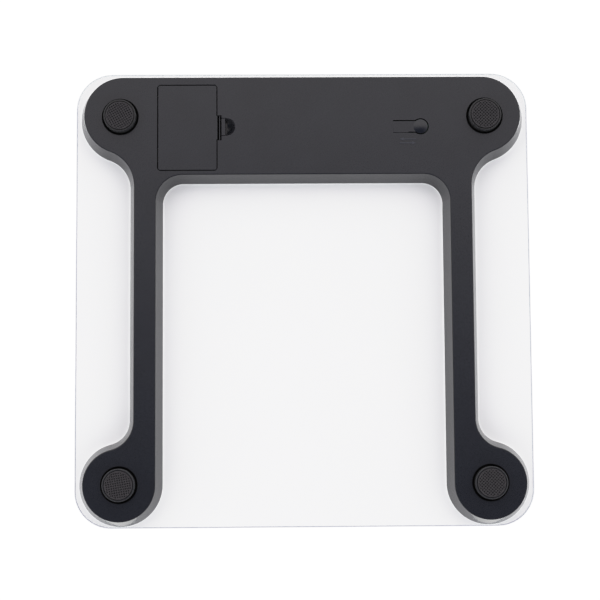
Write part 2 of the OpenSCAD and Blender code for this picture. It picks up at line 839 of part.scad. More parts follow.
// Plastic tray that carries the load from the platform to a load cell's frame
module cell_retainer(corner) {
    hollow = retainer_w - 2 * retainer_wall;
    notch_len = retainer_wall + 1;
    color("gainsboro")
        at_corner(corner)
            difference() {
                union() {
                    translate([0, 0, cell_top_z])
                        linear_extrude(rim_z - cell_top_z)
                            rounded_rect([retainer_w, retainer_w], cell_corner_r - 0.5);
                    box(arm_x, arm_y, [cell_top_z, cell_top_z + arm_t]);
                }
                translate([0, 0, cell_top_z - eps])
                    linear_extrude(rim_z - retainer_roof_t - cell_top_z + eps)
                        square(hollow, center = true);
                rotate([0, 0, neck_turn(corner)])
                    box([-notch_w / 2, notch_w / 2], [hollow / 2 - eps, hollow / 2 + notch_len],
                        [cell_top_z - eps, cell_top_z + notch_w]);
                for (p = arm_screws)
                    translate([p.x, p.y, cell_top_z - eps])
                        cylinder(h = rim_z - cell_top_z + 1, r = screw_r + 0.1, $fn = fn_small);
                for (p = arm_screws)
                    translate([p.x, p.y, cell_top_z + arm_t])
                        cylinder(h = rim_z - cell_top_z, r = screw_head_r + 0.3, $fn = 32);
            }
}

// Two screws through the arm of each retainer
module retainer_screws() {
    color("silver")
        for (corner = corners) at_corner(corner)
            for (p = arm_screws)
                translate([p.x, p.y, cell_top_z + arm_t])
                    screw(screw_r, screw_head_r, screw_head_h, screw_len);
}

// Circuit board with a tail that reaches over the unit button
module circuit_board() {
    tail_y = [button_head.y - board_tail_w / 2, button_head.y + board_tail_w / 2];
    color("seagreen")
        difference() {
            union() {
                box(board_x, board_y, [board_z, board_top]);
                box([board_tail_x, board_x[0] + eps], tail_y, [board_z, board_top]);
            }
            for (p = board_bosses)
                translate([p.x, p.y, board_z - 1])
                    cylinder(h = board_t + 2, r = board_screw_r + 0.15, $fn = fn_small);
        }
}

// Screws that hold the circuit board
module board_screws() {
    color("silver")
        for (p = board_bosses)
            translate([p.x, p.y, board_top])
                screw(board_screw_r, board_screw_head_r, 1.3, board_screw_len);
}

// Sealed chip under the board
module control_chip() {
    r = 6.5;
    h = 1.5;
    sphere_r = (r * r + h * h) / (2 * h);
    color("black")
        intersection() {
            translate([6, display_y, board_z - h + sphere_r]) sphere(sphere_r);
            translate([6, display_y, board_z - h - eps]) cylinder(h = h + eps, r = r + 1);
        }
}

// Crystal, capacitors and amplifier under the board
module board_components() {
    color("goldenrod") {
        translate([-14, 100, board_z - 2.2]) cylinder(h = 2.2, r = 2, $fn = 32);
        translate([-14, 122, board_z - 2.8]) cylinder(h = 2.8, r = 2.5, $fn = 32);
        box([-30, -22], [106, 112], [board_z - 1.5, board_z]);
        for (x = [22:4:34])
            box([x, x + 2], [118, 119.2], [board_z - 0.8, board_z]);
        for (x = [-36:4:-28])
            box([x, x + 2], [96, 97.2], [board_z - 0.8, board_z]);
    }
}

// Body of the push switch, hung from the board's tail
module unit_switch() {
    z = board_z - switch_body.z;
    color("darkslategray")
        difference() {
            translate([button_head.x, button_head.y, z + switch_body.z / 2])
                cube(switch_body, center = true);
            translate([button_head.x, button_head.y, z - eps])
                cylinder(h = switch_body.z - 0.3, r = plunger_r + plunger_gap, $fn = 32);
        }
}

// Plunger of the push switch, resting on the button's post
module switch_plunger() {
    color("whitesmoke")
        translate([button_head.x, button_head.y, button_post_top])
            cylinder(h = plunger_len, r = plunger_r, $fn = 32);
}

// Display panel: two glass layers, the lower one wider at the contact edge
module lcd_panel() {
    color("darkseagreen")
        translate([0, display_y, lcd_z]) {
            translate([0, 0, lcd_t / 4]) cube([lcd.x, lcd.y, lcd_t / 2], center = true);
            translate([0, 1.2, 3 * lcd_t / 4 - eps / 2])
                cube([lcd.x, lcd.y - 2.4, lcd_t / 2 + eps], center = true);
        }
}

// Frame that holds panel, backlight and contact strip over the board
module lcd_holder() {
    clear = 0.2;
    color("white")
        translate([0, display_y, 0])
            difference() {
                translate([0, 0, (board_top + rim_z) / 2])
                    cube([lcd.x + 2 * holder_wall, lcd.y + 2 * holder_wall, rim_z - board_top],
                        center = true);
                translate([0, 0, lcd_z + lcd_t])
                    cube([lcd.x + clear, lcd.y + clear, 2 * lcd_t], center = true);
                translate([0, backlight_y, lcd_z])
                    cube([backlight.x + clear, backlight.y + clear, 3 * backlight.z], center = true);
                translate([0, zebra_y, lcd_z])
                    cube([zebra.x + clear, zebra.y + clear, 3 * backlight.z], center = true);
            }
}

// Light guide behind the panel
module backlight_panel() {
    color("lightyellow")
        translate([0, display_y + backlight_y, board_top + backlight.z / 2])
            cube(backlight, center = true);
}

// Rubber contact strip between panel and board
module zebra_strip() {
    height = lcd_z - board_top;
    color("hotpink")
        translate([0, display_y + zebra_y, board_top + height / 2])
            cube([zebra.x, zebra.y, height], center = true);
}

// Foam frame between panel and film
module display_gasket() {
    z = lcd_z + lcd_t;
    color("black")
        translate([0, display_y + 1.2, z])
            linear_extrude(film_z - z)
                difference() {
                    square([lcd.x, lcd.y - 2.4], center = true);
                    translate([0, -1.2]) rounded_rect([window.x + 1, window.y + 0.6], 3);
                }
}

// Axis of cell i along X
function battery_x(i) = battery_mid_x + (i - 1) * battery_pitch;
// True where the cell's nub points to the rear end wall
function nub_to_rear(i) = i != 1;
// Length of the sprung gap between a cell's flat end and its contact
spring_len = bay_y[1] - bay_y[0] - 2 * contact_t - contact_bump_h - battery_len;
// Places of the solder tabs along X
tab_rear_x = battery_x(0) - 1;
tab_front_x = battery_x(2) - 1;

// Carries a shape with the wall contact at the origin and the cell along +Z
module at_end(i, rear) {
    y = rear ? bay_y[1] : bay_y[0];
    translate([battery_x(i), y, battery_z])
        rotate([rear ? 90 : -90, 0, 0]) children();
}

// AAA cell: can, flat end and nub
module battery(i) {
    nub_h = 1.1;
    nub_r = 1.9;
    body = battery_len - nub_h;
    chamfer = 0.4;
    color("peru")
        at_end(i, nub_to_rear(i))
            translate([0, 0, contact_t + contact_bump_h])
                rotate_extrude()
                    polygon([
                        [0, 0], [nub_r, 0], [nub_r, nub_h], [battery_r - chamfer, nub_h],
                        [battery_r, nub_h + chamfer], [battery_r, battery_len - chamfer],
                        [battery_r - chamfer, battery_len], [0, battery_len]
                    ]);
}

// Contact plate for a cell's end
module contact_plate(i, rear) {
    at_end(i, rear)
        translate([0, 0, contact_t / 2])
            cube([contact_w, contact_w, contact_t], center = true);
}

// Pressed bump that meets a cell's nub
module contact_bump(i, rear) {
    at_end(i, rear)
        translate([0, 0, contact_t - eps])
            cylinder(h = contact_bump_h + eps, r1 = 3, r2 = 1.8, $fn = 32);
}

// Solder tab that passes through the end wall
module solder_tab(x, rear) {
    tab_len = 3.4;
    y = rear ? bay_y[1] - contact_t : bay_y[0] + contact_t - tab_len;
    box([x - 1.5, x + 1.5], [y, y + tab_len], [lead_z - tab_t / 2, lead_z + tab_t / 2]);
}

// Strip that joins the ends of cells i and i + 1
module contact_link(i, rear) {
    y = rear ? bay_y[1] - contact_t : bay_y[0];
    box([battery_x(i), battery_x(i + 1)], [y, y + contact_t], [battery_z - 2, battery_z + 2]);
    contact_plate(i, rear);
    contact_plate(i + 1, rear);
}

module contact_positive() {
    color("silver") {
        contact_plate(0, true);
        contact_bump(0, true);
        solder_tab(tab_rear_x, true);
    }
}

module contact_negative() {
    color("silver") {
        contact_plate(2, false);
        solder_tab(tab_front_x, false);
    }
}

module contact_link_front() {
    color("silver") {
        contact_link(0, false);
        contact_bump(1, false);
    }
}

module contact_link_rear() {
    color("silver") {
        contact_link(1, true);
        contact_bump(2, true);
    }
}

// Tapered springs between each cell's flat end and its contact
module battery_springs() {
    color("silver")
        for (i = [0:2]) at_end(i, !nub_to_rear(i))
            translate([0, 0, contact_t]) coil(3.9, 2.2, spring_len, 3, 0.35);
}

// Red and black leads from the bay's solder tabs to the board
module battery_leads() {
    pad_x = 37;
    rear_y = 139.4;
    front_y = 81.8;
    color("firebrick")
        wire([
            [tab_rear_x - 1.5, rear_y, lead_z], [pad_x, rear_y, lead_z],
            [pad_x, board_y[1] - 2.3, lead_z], [pad_x, board_y[1] - 2.3, board_top]
        ], lead_r, lead_bend);
    color("black")
        wire([
            [tab_front_x - 1.5, front_y, lead_z], [pad_x, front_y, lead_z],
            [pad_x, board_y[0] + 2.5, lead_z], [pad_x, board_y[0] + 2.5, board_top]
        ], lead_r, lead_bend);
}

// Sleeved wires from a rear load cell, along the outer side of the bar to the board
module cell_wires_rear(side) {
    pad_x = 30;
    x = 101;
    y = 140.6;
    start = foot_x - gauge_y - gauge.y / 2;
    color("gainsboro")
        mirror([side < 0 ? 1 : 0, 0, 0])
            wire([
                [start, foot_rear_y, gauge_wire_z], [x, foot_rear_y, gauge_wire_z],
                [x, foot_rear_y, low_wire_z - 0.1], [x, y, low_wire_z - 0.1],
                [pad_x, y, low_wire_z - 0.1], [pad_x, y, high_wire_z],
                [pad_x, board_y[1] - 2.3, high_wire_z], [pad_x, board_y[1] - 2.3, board_top]
            ], wire_r, wire_bend);
}

// Sleeved wires from a front load cell, along the leg and the inner side of the bar
module cell_wires_front(side) {
    pad_x = 30;
    drop_y = -103.4;
    x = 106.5;
    y = 81.6;
    start = -foot_front_y + gauge_y + gauge.y / 2;
    color("gainsboro")
        mirror([side < 0 ? 1 : 0, 0, 0])
            wire([
                [foot_x, start, gauge_wire_z], [foot_x, drop_y, gauge_wire_z],
                [foot_x, drop_y, low_wire_z - 0.1], [x, drop_y, low_wire_z - 0.1],
                [x, y, low_wire_z - 0.1], [pad_x, y, low_wire_z - 0.1],
                [pad_x, y, high_wire_z], [pad_x, board_y[0] + 2.5, high_wire_z],
                [pad_x, board_y[0] + 2.5, board_top]
            ], wire_r, wire_bend);
}

glass_platform();
safety_film();
bonding_tape();
base_housing();
battery_door();
door_latch();
unit_button();
foot_cap(rear_right);  // foot_cap_rear_right
foot_cap(rear_left);  // foot_cap_rear_left
foot_cap(front_right);  // foot_cap_front_right
foot_cap(front_left);  // foot_cap_front_left
foot_pad(rear_right);  // foot_pad_rear_right
foot_pad(rear_left);  // foot_pad_rear_left
foot_pad(front_right);  // foot_pad_front_right
foot_pad(front_left);  // foot_pad_front_left
load_cell(rear_right);  // load_cell_rear_right
load_cell(rear_left);  // load_cell_rear_left
load_cell(front_right);  // load_cell_front_right
load_cell(front_left);  // load_cell_front_left
cell_retainer(rear_right);  // cell_retainer_rear_right
cell_retainer(rear_left);  // cell_retainer_rear_left
cell_retainer(front_right);  // cell_retainer_front_right
cell_retainer(front_left);  // cell_retainer_front_left
strain_gauges();
retainer_screws();
circuit_board();
board_screws();
control_chip();
board_components();
unit_switch();
switch_plunger();
lcd_panel();
lcd_holder();
backlight_panel();
zebra_strip();
display_gasket();
battery(0);  // battery_1
battery(1);  // battery_2
battery(2);  // battery_3
contact_positive();
contact_negative();
contact_link_front();
contact_link_rear();
battery_springs();
battery_leads();
cell_wires_rear(1);  // cell_wires_rear_right
cell_wires_rear(-1);  // cell_wires_rear_left
cell_wires_front(1);  // cell_wires_front_right
cell_wires_front(-1);  // cell_wires_front_left
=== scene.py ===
"""The looks of a digital bathroom scale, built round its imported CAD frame.

Lengths are in metres, in the frame of the CAD model: the scale stands on its feet at z = 0, its display
is towards +Y, and the camera looks up at its underside.
"""

import math

import bmesh
import bpy
from mathutils import Matrix, Vector
from mathutils.geometry import delaunay_2d_cdt


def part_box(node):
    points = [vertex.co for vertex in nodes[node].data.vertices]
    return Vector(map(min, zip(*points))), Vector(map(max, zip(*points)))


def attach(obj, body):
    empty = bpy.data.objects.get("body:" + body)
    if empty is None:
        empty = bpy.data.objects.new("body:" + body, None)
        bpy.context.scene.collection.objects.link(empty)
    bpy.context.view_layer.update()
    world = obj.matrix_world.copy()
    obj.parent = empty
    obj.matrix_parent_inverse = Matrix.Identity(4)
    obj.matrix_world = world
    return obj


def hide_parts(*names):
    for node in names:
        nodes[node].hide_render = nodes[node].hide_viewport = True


MM = 0.001
FULL_TURN = 2 * math.pi

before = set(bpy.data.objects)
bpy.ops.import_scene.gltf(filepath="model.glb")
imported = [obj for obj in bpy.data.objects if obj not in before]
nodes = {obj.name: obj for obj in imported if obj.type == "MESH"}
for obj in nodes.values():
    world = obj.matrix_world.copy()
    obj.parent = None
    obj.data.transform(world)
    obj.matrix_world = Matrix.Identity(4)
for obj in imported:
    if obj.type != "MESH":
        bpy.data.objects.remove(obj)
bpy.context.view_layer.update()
scene = bpy.context.scene


class Graph:
    """Short ways to add shader nodes to one tree.

    An output socket given for an input is linked to it, and any other value is set on the socket.
    """

    def __init__(self, tree):
        self.tree = tree
        tree.nodes.clear()

    def add(self, kind, inputs=None, **settings):
        node = self.tree.nodes.new("ShaderNode" + kind)
        for name, value in settings.items():
            setattr(node, name, value)
        for name, value in (inputs or {}).items():
            if isinstance(value, bpy.types.NodeSocket):
                self.tree.links.new(value, node.inputs[name])
            else:
                node.inputs[name].default_value = value
        return node

    def math(self, operation, *values, clamp=False):
        node = self.add("Math", dict(enumerate(values)), operation=operation, use_clamp=clamp)
        return node.outputs[0]

    def place(self, stretch=(1, 1, 1), turn=0.0):
        """The point's own place on the object, in metres, stretched per axis and turned about Z."""
        point = self.add("TexCoord").outputs["Object"]
        if tuple(stretch) == (1, 1, 1) and not turn:
            return point
        mapping = {"Vector": point, "Scale": stretch, "Rotation": (0, 0, turn)}
        return self.add("Mapping", mapping).outputs[0]

    def noise(self, size, detail=2.0, stretch=(1, 1, 1)):
        """Noise from 0 to 1, with lumps about size across."""
        inputs = {"Vector": self.place(stretch), "Scale": 1 / size, "Detail": detail}
        return self.add("TexNoise", inputs).outputs["Fac"]

    def cells(self, size, feature="F1"):
        """The distance to the nearest point of a scatter whose cells are about size across."""
        inputs = {"Vector": self.place(), "Scale": 1 / size}
        return self.add("TexVoronoi", inputs, feature=feature).outputs["Distance"]

    def ramp(self, value, low, high, out_low=0.0, out_high=1.0, smooth=False):
        """The value's way from low to high, as a way from out_low to out_high, held at both ends."""
        inputs = {"Value": value, "From Min": low, "From Max": high, "To Min": out_low, "To Max": out_high}
        kind = "SMOOTHSTEP" if smooth else "LINEAR"
        return self.add("MapRange", inputs, interpolation_type=kind).outputs["Result"]

    def mix(self, factor, first, second, blend="MIX"):
        """A blend of two colours. The Mix node's colour inputs are its sockets 6 and 7."""
        inputs = {0: factor, 6: colour(first), 7: colour(second)}
        return self.add("Mix", inputs, data_type="RGBA", blend_type=blend).outputs[2]

    def bump(self, height, depth):
        """A normal bumped by a height from 0 to 1 that stands for depth."""
        return self.add("Bump", {"Height": height, "Distance": depth}).outputs[0]

    def finish(self, shader):
        self.add("OutputMaterial", {"Surface": shader.outputs[0]})


def colour(value):
    """A socket, or an RGB colour with its alpha added."""
    if isinstance(value, bpy.types.NodeSocket):
        return value
    return (*value, 1.0)


def new_material(name):
    material = bpy.data.materials.new("look_" + name)
    material.use_nodes = True
    return material, Graph(material.node_tree)


def textured(name, dark, light, drift, grain, rough, depth, stretch=(1, 1, 1), **fixed):
    """A material whose colour drifts between two shades over lumps of one size, with a finer grain.

    The grain shades the colour a little, changes the roughness and bumps the surface by depth.
    The fixed values are set on the shader's own sockets, with _ in a name for a space.
    """
    material, graph = new_material(name)
    slow = graph.ramp(graph.noise(drift, 3.0), 0.32, 0.68)
    fine = graph.noise(grain, 2.0, stretch)
    shade = graph.math("ADD", graph.math("MULTIPLY", slow, 0.6), graph.math("MULTIPLY", fine, 0.4))
    inputs = {
        "Base Color": graph.mix(shade, dark, light),
        "Roughness": graph.ramp(fine, 0.25, 0.75, rough[0], rough[1]),
        "Normal": graph.bump(fine, depth),
    }
    inputs.update({key.replace("_", " "): value for key, value in fixed.items()})
    graph.finish(graph.add("BsdfPrincipled", inputs))
    return material


# Where the housing's face is broken by narrow gaps, painted near black as painted shade: the door with its
# latch, and the unit button
GAP_SPANS_X = ((50.9 * MM, 100 * MM), (-90 * MM, -50 * MM))
GAP_SPAN_Y = (80.5 * MM, 143 * MM)
LATCH_SPAN_X = (50.9 * MM, 57.5 * MM)
SCOOP_SPAN_X = (43 * MM, 51 * MM)
SYMBOL_TOP_Y = 105 * MM
FOOT_X = 119.4 * MM
FOOT_REAR_Y = 118 * MM
FOOT_FRONT_Y = -121.4 * MM
FOOT_HOLE_R = 12.6 * MM
FACE_Z = 5.2 * MM
RAISED_Z = FACE_Z - 0.02 * MM

# Heights over the face between which the gaps' sides and their shallow floors lie, painted near black as
# painted shade
GAP_SIDES_Z = (FACE_Z + 0.01 * MM, FACE_Z + 4.3 * MM)
GAP_FLOORS_Z = (FACE_Z + 0.9 * MM, FACE_Z + 2.15 * MM)

# How the housing's parts differ from its face: near black for painted shade in the gaps, painted shade on
# the rounded edges, walls painted lighter as painted sheen, a painted highlight on the raised symbol, and
# rougher gaps
NEAR_BLACK = (0.001, 0.001, 0.001)
WALL_SHEEN_DARK = (0.030, 0.030, 0.033)
WALL_SHEEN_LIGHT = (0.044, 0.044, 0.048)
ROUNDING_SHADE = 0.7
GAP_ROUGHNESS = 0.95
SYMBOL_HIGHLIGHT_GAIN = 2.2

# The refractive index of glass, and near enough of plastic
GLOSS_IOR = 1.5

# The backing film's outline and its display window
FILM_CORNER_R = 23 * MM
WINDOW_HALF = (36 * MM, 16 * MM)
WINDOW_CORNER_R = 3 * MM


def within(graph, value, low, high):
    """1 where the value is between low and high, and 0 elsewhere."""
    over, under = graph.math("GREATER_THAN", value, low), graph.math("LESS_THAN", value, high)
    return graph.math("MULTIPLY", over, under)


def square(graph, value):
    return graph.math("MULTIPLY", value, value)


def face_gap_shade(graph, place, upright):
    """1 on the sides, chamfers and shallow floors of the gaps in the housing's face, where near black is
    painted as painted shade.
    """
    door, button = (within(graph, place[0], *span) for span in GAP_SPANS_X)
    in_y = within(graph, place[1], *GAP_SPAN_Y)
    spans = graph.math("MULTIPLY", graph.math("MAXIMUM", door, button), in_y)
    foot_dx = graph.math("SUBTRACT", graph.math("ABSOLUTE", place[0]), FOOT_X)
    rear_dy, front_dy = (graph.math("ABSOLUTE", graph.math("SUBTRACT", place[1], foot_y))
                         for foot_y in (FOOT_REAR_Y, FOOT_FRONT_Y))
    foot_dy = graph.math("MINIMUM", rear_dy, front_dy)
    foot_squared = graph.math("ADD", square(graph, foot_dx), square(graph, foot_dy))
    spans = graph.math("MAXIMUM", spans, graph.math("LESS_THAN", foot_squared, FOOT_HOLE_R ** 2))
    steep = graph.math("LESS_THAN", upright, 0.9)
    sides = graph.math("MULTIPLY", steep, within(graph, place[2], *GAP_SIDES_Z))
    floors = within(graph, place[2], *GAP_FLOORS_Z)
    deep = graph.math("GREATER_THAN", place[2], GAP_FLOORS_Z[0])
    pocket = graph.math("MULTIPLY", within(graph, place[0], *LATCH_SPAN_X), deep)
    found = graph.math("MAXIMUM", graph.math("MAXIMUM", sides, floors), pocket)
    return graph.math("MULTIPLY", spans, found)


def charcoal_look(name, dark, light, rough, wall_rough, foot_gap=None):
    """Moulded black plastic: a spark-eroded grain on its level faces, and smoother walls painted lighter as
    painted sheen.

    The gaps in the face are painted near black as painted shade, the rounded edges are darkened with
    painted shade and the raised symbol is painted lighter as a painted highlight.
    With foot_gap, a low and a high z, the piece fades to near black between them instead, as painted shade.
    """
    material, graph = new_material(name)
    slow = graph.ramp(graph.noise(18 * MM, 3.0), 0.3, 0.7)
    fine = graph.noise(0.45 * MM, 3.0)
    pits = graph.ramp(graph.cells(0.38 * MM), 0.1, 0.55)
    grain = graph.math("ADD", graph.math("MULTIPLY", fine, 0.5), graph.math("MULTIPLY", pits, 0.5))
    shade = graph.math("ADD", graph.math("MULTIPLY", slow, 0.45), graph.math("MULTIPLY", grain, 0.55))
    normal = graph.add("NewGeometry").outputs["True Normal"]
    upright = graph.math("ABSOLUTE", graph.add("SeparateXYZ", {0: normal}).outputs[2])
    level = graph.ramp(upright, 0.45, 0.85)
    place = graph.add("SeparateXYZ", {0: graph.place()}).outputs
    rough_level = graph.ramp(grain, 0.3, 0.7, rough[0], rough[1])
    rough_wall = graph.ramp(grain, 0.3, 0.7, wall_rough[0], wall_rough[1])
    roughness = graph.math("ADD", graph.math("MULTIPLY", rough_level, level),
                           graph.math("MULTIPLY", rough_wall, graph.math("SUBTRACT", 1.0, level)))
    # Painted shade: near black in the gaps and round the feet, darker on the rounded edges, and for a foot,
    # near black up in its hole
    if foot_gap:
        painted_shade = graph.ramp(place[2], foot_gap[0], foot_gap[1], smooth=True)
    else:
        in_x, in_y = within(graph, place[0], *SCOOP_SPAN_X), within(graph, place[1], *GAP_SPAN_Y)
        scoop = graph.math("MULTIPLY", in_x, in_y)
        # Painted shade on the rounded edges, left off in the finger scoop
        rounding_shade = graph.math("MULTIPLY", within(graph, upright, 0.3, 0.93), ROUNDING_SHADE)
        rounding_shade = graph.math("MULTIPLY", rounding_shade, graph.math("SUBTRACT", 1.0, scoop))
        painted_shade = graph.math("MAXIMUM", rounding_shade, face_gap_shade(graph, place, upright))
    # Painted sheen: the walls are painted lighter than the face
    walls = graph.mix(shade, WALL_SHEEN_DARK, WALL_SHEEN_LIGHT)
    raised = graph.math("MULTIPLY", graph.math("LESS_THAN", place[2], RAISED_Z),
                        graph.math("LESS_THAN", place[1], SYMBOL_TOP_Y))
    base = graph.mix(level, walls, graph.mix(shade, dark, light))
    # Painted highlight: the raised symbol is painted lighter than the face
    symbol = [SYMBOL_HIGHLIGHT_GAIN * value for value in light]
    base = graph.mix(graph.math("MULTIPLY", raised, level), base, symbol)
    grain_height = graph.math("MULTIPLY", grain, graph.ramp(level, 0.0, 1.0, 0.25, 1.0))
    gap_rough = graph.math("MULTIPLY", painted_shade, GAP_ROUGHNESS)
    inputs = {
        "Base Color": graph.mix(painted_shade, base, NEAR_BLACK),
        "Roughness": graph.math("MAXIMUM", roughness, gap_rough),
        "Normal": graph.bump(grain_height, 0.014 * MM),
        "IOR": GLOSS_IOR,
    }
    graph.finish(graph.add("BsdfPrincipled", inputs))
    return material


def film_shader(graph):
    """White backing film, faintly uneven."""
    slow = graph.ramp(graph.noise(60 * MM, 3.0), 0.3, 0.7)
    fine = graph.noise(0.5 * MM)
    return graph.add("BsdfPrincipled", {
        "Base Color": graph.mix(slow, (0.868, 0.87, 0.872), (0.885, 0.887, 0.89)),
        "Roughness": graph.ramp(fine, 0.3, 0.7, 0.38, 0.48),
        "Normal": graph.bump(fine, 0.003 * MM),
    })


def film_look():
    """The film, clear from its inside, so that the glass face in the same plane as its top is lit."""
    material, graph = new_material("white_film")
    inside = graph.add("NewGeometry").outputs["Backfacing"]
    clear = graph.add("BsdfTransparent")
    graph.finish(graph.add("MixShader", {0: inside, 1: film_shader(graph).outputs[0], 2: clear.outputs[0]}))
    return material


def inside_round_box(graph, place, middle, half, corner_r):
    """1 inside an upright box of half size (x, y) round middle, with corners of radius corner_r."""
    past = []
    for axis in (0, 1):
        away = graph.math("ABSOLUTE", graph.math("SUBTRACT", place[axis], middle[axis]))
        past.append(graph.math("MAXIMUM", graph.math("SUBTRACT", away, half[axis] - corner_r), 0.0))
    squares = [square(graph, value) for value in past]
    return graph.math("LESS_THAN", graph.math("ADD", *squares), corner_r ** 2)


def bonded_film(graph):
    """1 on the part of the glass's underside that shares a plane with the film bonded to it."""
    place = graph.add("SeparateXYZ", {0: graph.place()}).outputs
    low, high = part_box("safety_film")
    middle, half = (low + high) / 2, (high - low) / 2
    film = inside_round_box(graph, place, middle, half, FILM_CORNER_R)
    window_low, window_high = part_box("display_gasket")
    window = inside_round_box(graph, place, (window_low + window_high) / 2, WINDOW_HALF, WINDOW_CORNER_R)
    film = graph.math("MULTIPLY", film, graph.math("SUBTRACT", 1.0, window))
    return graph.math("MULTIPLY", film, graph.math("LESS_THAN", place[2], high.z + 0.1 * MM))


def glass_look():
    """Tempered glass: clear polished faces, and a ground edge that is frosted and faintly cool.

    The underside shows the film where the film is bonded to it, as the two faces share a plane.
    """
    material, graph = new_material("clear_glass")
    geometry = graph.add("NewGeometry")
    normal = geometry.outputs["True Normal"]
    upright = graph.math("ABSOLUTE", graph.add("SeparateXYZ", {0: normal}).outputs[2])
    polished = graph.ramp(upright, 0.8, 0.95)
    outside = graph.math("SUBTRACT", 1.0, geometry.outputs["Backfacing"])
    mirror = graph.math("MULTIPLY", graph.add("Fresnel", {"IOR": GLOSS_IOR}).outputs[0], outside)
    smear = graph.ramp(graph.noise(35 * MM, 3.0), 0.3, 0.7, 0.015, 0.05)
    through = graph.add("BsdfTransparent", {"Color": (0.985, 0.995, 0.99, 1)})
    gloss = graph.add("BsdfAnisotropic", {"Color": (1, 1, 1, 1), "Roughness": smear})
    clear = graph.add("MixShader", {0: mirror, 1: through.outputs[0], 2: gloss.outputs[0]})
    grind = graph.noise(2.5 * MM, 2.0, (1, 1, 0.25))
    ground_side = graph.mix(grind, (0.62, 0.69, 0.69), (0.70, 0.77, 0.76))
    chamfer = graph.mix(grind, (0.37, 0.365, 0.42), (0.41, 0.405, 0.46))
    inputs = {
        "Base Color": graph.mix(graph.ramp(upright, 0.2, 0.5), ground_side, chamfer),
        "Roughness": graph.ramp(grind, 0.3, 0.7, 0.4, 0.5),
        "Transmission Weight": 0.2,
        "IOR": GLOSS_IOR,
        "Normal": graph.bump(grind, 0.01 * MM),
    }
    ground = graph.add("BsdfPrincipled", inputs)
    glass = graph.add("MixShader", {0: polished, 1: ground.outputs[0], 2: clear.outputs[0]})
    open_side = graph.add("BsdfTransparent")
    film = graph.add("MixShader", {0: geometry.outputs["Backfacing"], 1: open_side.outputs[0],
                                   2: film_shader(graph).outputs[0]})
    graph.finish(graph.add("MixShader", {0: bonded_film(graph), 1: glass.outputs[0], 2: film.outputs[0]}))
    return material


def battery_look(name, cap_end):
    """A cell's sleeve without text: dark, with a copper band at the cap end and bare steel at both ends."""
    material, graph = new_material(name)
    low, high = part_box(name)
    along = graph.add("SeparateXYZ", {0: graph.place()}).outputs[1]
    if cap_end > 0:
        from_cap = graph.math("SUBTRACT", high.y, along)
    else:
        from_cap = graph.math("SUBTRACT", along, low.y)
    length = high.y - low.y
    band = graph.math("LESS_THAN", from_cap, 0.32 * length)
    stripe = graph.math("COMPARE", from_cap, 0.335 * length, 0.4 * MM)
    steel_cap = graph.math("LESS_THAN", from_cap, 1.6 * MM)
    steel_base = graph.math("GREATER_THAN", from_cap, length - 0.5 * MM)
    steel = graph.math("MAXIMUM", steel_cap, steel_base)
    fine = graph.noise(0.5 * MM, 2.0, (1, 0.1, 1))
    sleeve = graph.mix(fine, (0.016, 0.017, 0.02), (0.026, 0.027, 0.03))
    copper = graph.mix(fine, (0.62, 0.27, 0.1), (0.74, 0.36, 0.15))
    printed = graph.mix(stripe, graph.mix(band, sleeve, copper), (0.75, 0.74, 0.72))
    inputs = {
        "Base Color": graph.mix(steel, printed, (0.6, 0.6, 0.59)),
        "Metallic": graph.math("MAXIMUM", steel, graph.math("MULTIPLY", band, 0.8)),
        "Roughness": graph.ramp(fine, 0.3, 0.7, 0.24, 0.34),
        "Normal": graph.bump(fine, 0.01 * MM),
        "Coat Weight": 0.3,
        "Coat Roughness": 0.1,
    }
    graph.finish(graph.add("BsdfPrincipled", inputs))
    return material


def board_look():
    """Green solder mask over copper tracks that run in straight lengths, with bare pads between."""
    material, graph = new_material("board_green")
    tracks = {"Vector": graph.place(), "Scale": 1.0, "Mortar Size": 0.00022, "Mortar Smooth": 0.2,
              "Brick Width": 7 * MM, "Row Height": 1.3 * MM}
    brick = graph.add("TexBrick", tracks, offset=0.37, squash=1.4, squash_frequency=3)
    dots = graph.math("LESS_THAN", graph.cells(4.2 * MM), 0.11)
    fine = graph.noise(0.4 * MM)
    mask = graph.mix(fine, (0.012, 0.12, 0.04), (0.02, 0.17, 0.06))
    tracked = graph.mix(brick.outputs["Fac"], mask, (0.05, 0.26, 0.1))
    inputs = {
        "Base Color": graph.mix(dots, tracked, (0.75, 0.62, 0.32)),
        "Metallic": graph.math("MULTIPLY", dots, 0.9),
        "Roughness": graph.ramp(fine, 0.3, 0.7, 0.25, 0.38),
        "Normal": graph.bump(brick.outputs["Fac"], 0.03 * MM),
    }
    graph.finish(graph.add("BsdfPrincipled", inputs))
    return material


def pad_look():
    """Knurled rubber: the tops of its ridges are a lighter brown, and the pits between are painted near
    black as painted shade.
    """
    material, graph = new_material("pad_rubber")
    height = graph.add("SeparateXYZ", {0: graph.place()}).outputs[2]
    # Painted shade: the deeper the knurl, the nearer to black
    pit = graph.ramp(height, 0.06 * MM, 0.34 * MM)
    fine = graph.noise(0.3 * MM, 3.0)
    ridge_colour = graph.mix(fine, (0.024, 0.022, 0.024), (0.041, 0.038, 0.041))
    inputs = {
        "Base Color": graph.mix(pit, ridge_colour, (0.012, 0.012, 0.013)),
        "Roughness": graph.ramp(fine, 0.3, 0.7, 0.6, 0.8),
        "Normal": graph.bump(fine, 0.04 * MM),
        "Specular IOR Level": 0.35,
    }
    graph.finish(graph.add("BsdfPrincipled", inputs))
    return material


def lead_look(name, split, left, right):
    """Two insulated wires that share a node, told apart by which side of X = split they run."""
    material, graph = new_material(name)
    side = graph.math("GREATER_THAN", graph.add("SeparateXYZ", {0: graph.place()}).outputs[0], split)
    fine = graph.noise(0.8 * MM)
    inputs = {
        "Base Color": graph.mix(side, left, right),
        "Roughness": graph.ramp(fine, 0.3, 0.7, 0.35, 0.5),
        "Normal": graph.bump(fine, 0.01 * MM),
    }
    graph.finish(graph.add("BsdfPrincipled", inputs))
    return material


